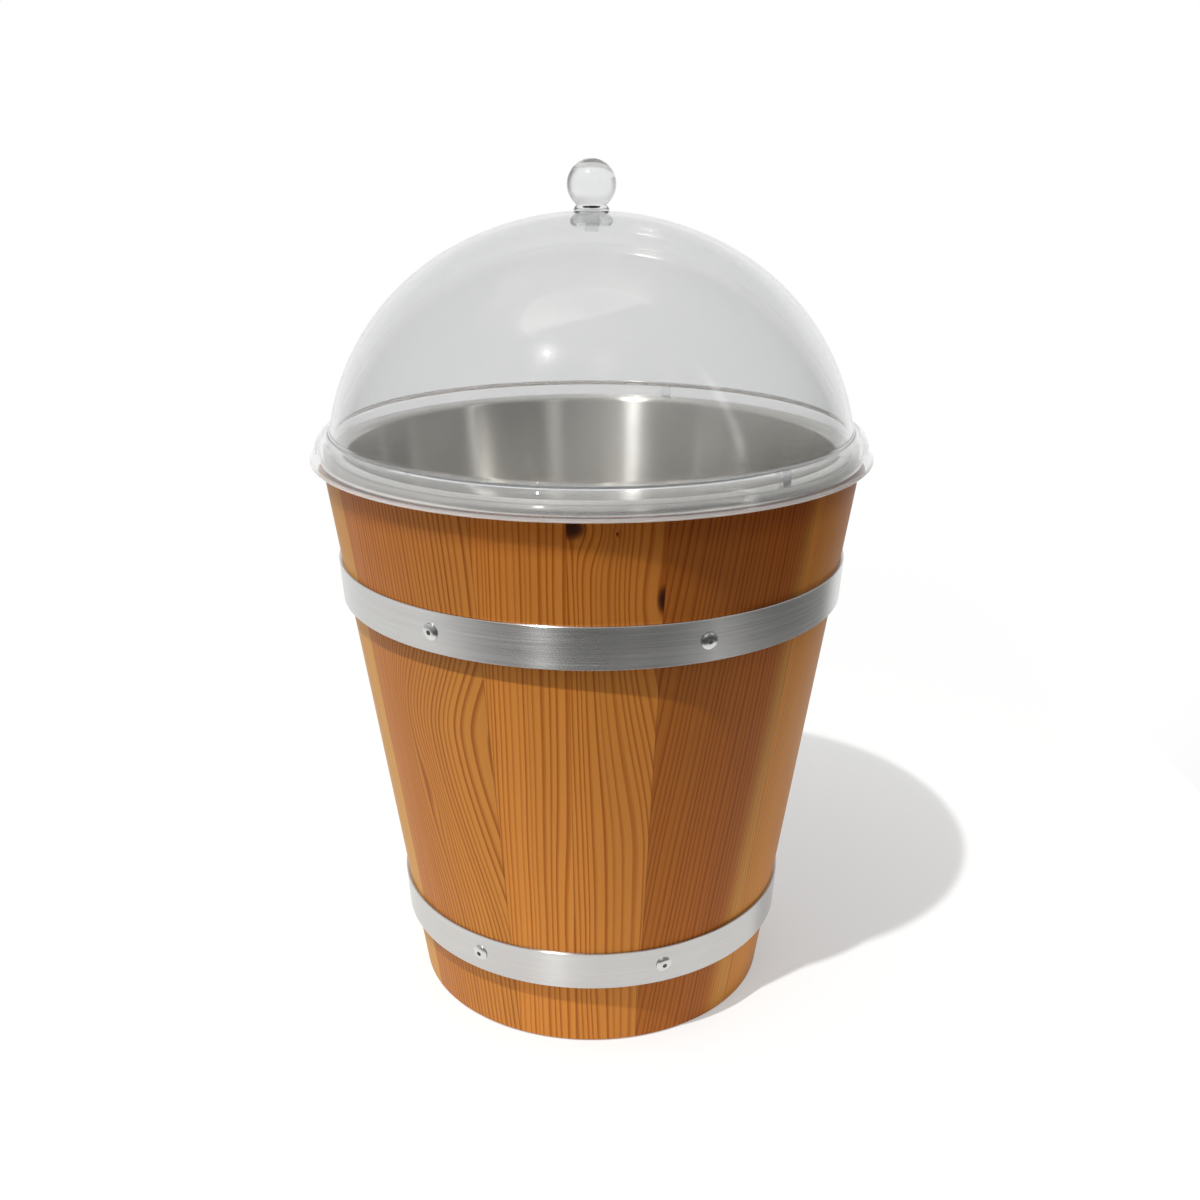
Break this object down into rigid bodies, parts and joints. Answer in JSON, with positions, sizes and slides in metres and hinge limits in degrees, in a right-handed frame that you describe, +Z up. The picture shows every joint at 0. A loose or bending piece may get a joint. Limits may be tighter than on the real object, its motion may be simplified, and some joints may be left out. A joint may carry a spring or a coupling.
{
  "type": "wooden firkin",
  "caption": "Tapered stave-built wooden bucket bound by two riveted metal hoops, with a lift-out steel insert and a clear dome lid topped by a ball knob.",
  "frame": {"origin": "middle of the base, on the surface that the bucket stands on", "axes": "+Z up along the bucket's axis; the side that the picture shows faces -Y, with +X to its right"},
  "size_m": [0.2794, 0.2794, 0.4252],
  "materials": {
    "larch_heartwood": "oiled, satin",
    "larch_sapwood": "oiled, satin",
    "bottom_wood": "planed, bare",
    "hoop_aluminium": "brushed along the strip",
    "rivet_metal": "plain, bright",
    "insert_steel": "brushed round the axis",
    "clear_acrylic": "clear, polished"
  },
  "bodies": {
    "bucket": {"stave_01": "larch_heartwood", "stave_02": "larch_heartwood", "stave_03": "larch_heartwood", "stave_04": "larch_heartwood", "stave_05": "larch_sapwood", "stave_06": "larch_heartwood", "stave_07": "larch_heartwood", "stave_08": "larch_heartwood", "stave_09": "larch_heartwood", "stave_10": "larch_heartwood", "stave_11": "larch_heartwood", "stave_12": "larch_heartwood", "stave_13": "larch_sapwood", "bottom_board_1": "bottom_wood", "bottom_board_2": "bottom_wood", "bottom_board_3": "bottom_wood", "upper_hoop": "hoop_aluminium", "lower_hoop": "hoop_aluminium", "upper_hoop_rivets": "rivet_metal", "lower_hoop_rivets": "rivet_metal"},
    "insert": {"steel_insert": "insert_steel"},
    "lid": {"lid_dome": "clear_acrylic", "lid_knob": "clear_acrylic", "knob_retainer": "clear_acrylic"}
  },
  "joints": [
    {"name": "insert_lift", "type": "slide", "parent": "bucket", "child": "insert", "axis": [0, 0, 1], "range_m": [0, 0.26]},
    {"name": "lid_lift", "type": "slide", "parent": "insert", "child": "lid", "axis": [0, 0, 1], "range_m": [0, 0.3]}
  ]
}
